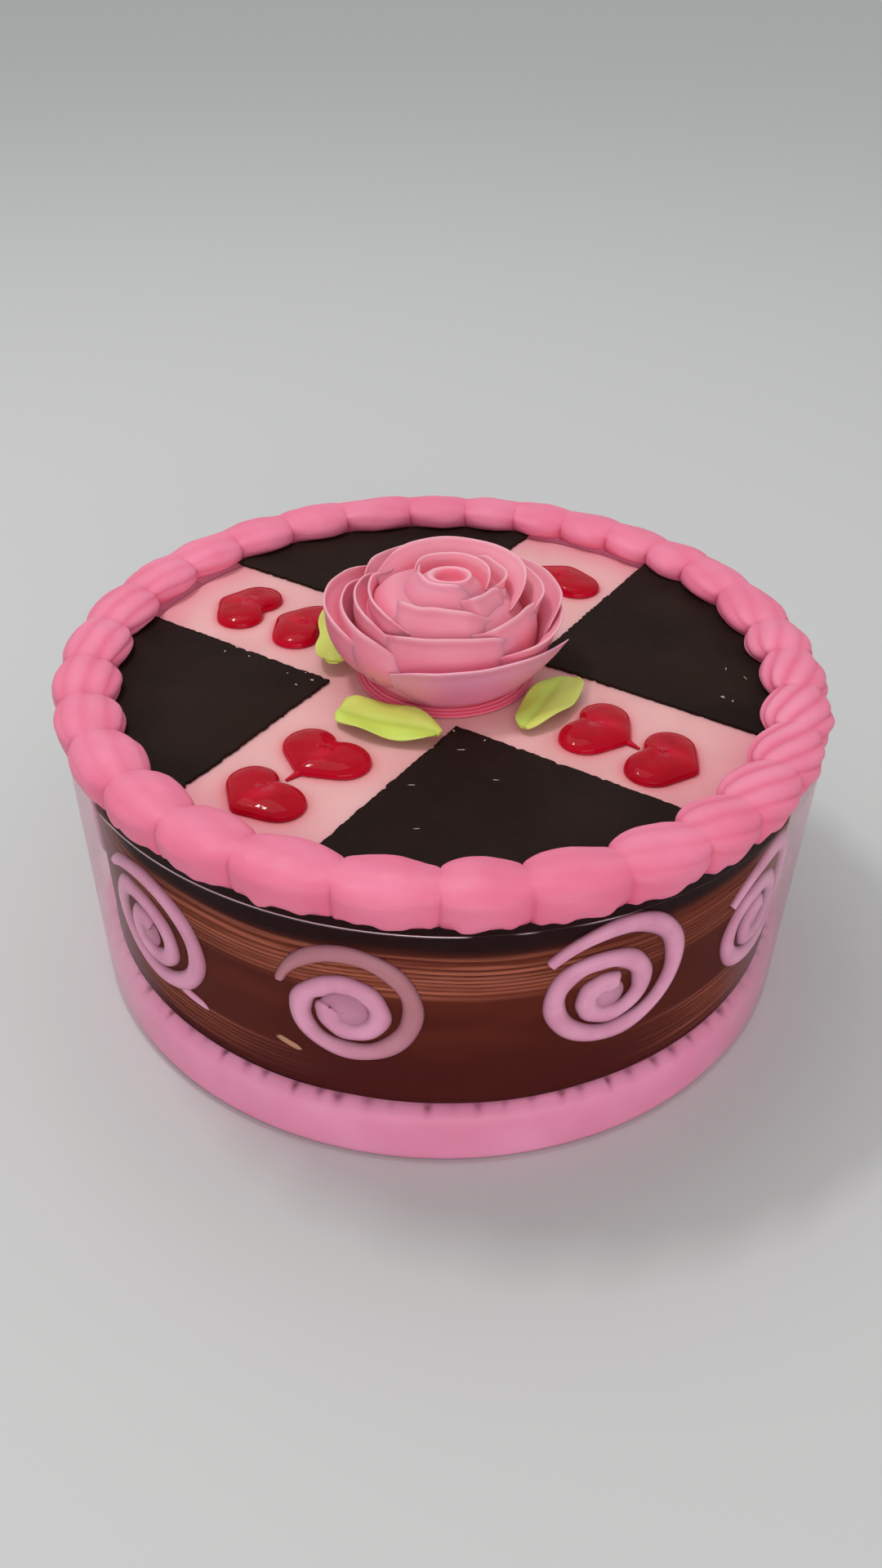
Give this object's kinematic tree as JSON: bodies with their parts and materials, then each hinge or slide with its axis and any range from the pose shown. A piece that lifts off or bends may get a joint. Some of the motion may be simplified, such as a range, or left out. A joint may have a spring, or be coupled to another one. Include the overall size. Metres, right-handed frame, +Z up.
{
  "type": "birthday cake",
  "caption": "Round cream cake with a piped shell border, chocolate wedges on top, red gel hearts, a piped rose with leaves, and swirls on its chocolate side.",
  "frame": {"origin": "centre of the flat underside", "axes": "+Z up, the cake's front towards -Y, +X to the right of somebody who looks at its front"},
  "size_m": [0.2548, 0.2548, 0.1381],
  "materials": {
    "pink_cream": "soft satin cream, smoothed flat",
    "border_cream": "satin piped cream with star ridges",
    "base_cream": "smooth satin cream",
    "side_chocolate": "glossy chocolate with combed streaks",
    "dark_chocolate": "dark chocolate, dull satin",
    "lilac_cream": "satin lilac cream",
    "rose_cream": "smooth satin cream",
    "mound_cream": "satin cream with fine ridges",
    "leaf_cream": "satin yellow-green cream",
    "red_gel": "wet glossy gel",
    "clear_film": "thin clear plastic film"
  },
  "bodies": {
    "root": {"cake_body": "pink_cream", "base_band": "base_cream", "chocolate_band": "side_chocolate", "clear_film": "clear_film", "shell_border": "border_cream", "rose": "rose_cream", "rose_mound": "mound_cream", "chocolate_wedge_1": "dark_chocolate", "chocolate_wedge_2": "dark_chocolate", "chocolate_wedge_3": "dark_chocolate", "chocolate_wedge_4": "dark_chocolate", "side_swirl_01": "lilac_cream", "side_swirl_02": "lilac_cream", "side_swirl_03": "lilac_cream", "side_swirl_04": "lilac_cream", "side_swirl_05": "lilac_cream", "side_swirl_06": "lilac_cream", "side_swirl_07": "lilac_cream", "side_swirl_08": "lilac_cream", "side_swirl_09": "lilac_cream", "side_swirl_10": "lilac_cream", "heart_front_left_inner": "red_gel", "heart_front_left_outer": "red_gel", "heart_front_right_inner": "red_gel", "heart_front_right_outer": "red_gel", "heart_back_left_outer": "red_gel", "heart_back_left_inner": "red_gel", "heart_back_right_outer": "red_gel", "heart_back_right_inner": "red_gel", "leaf_front_left": "leaf_cream", "leaf_front_right": "leaf_cream", "leaf_back_left": "leaf_cream", "leaf_back_right": "leaf_cream"}
  },
  "joints": []
}
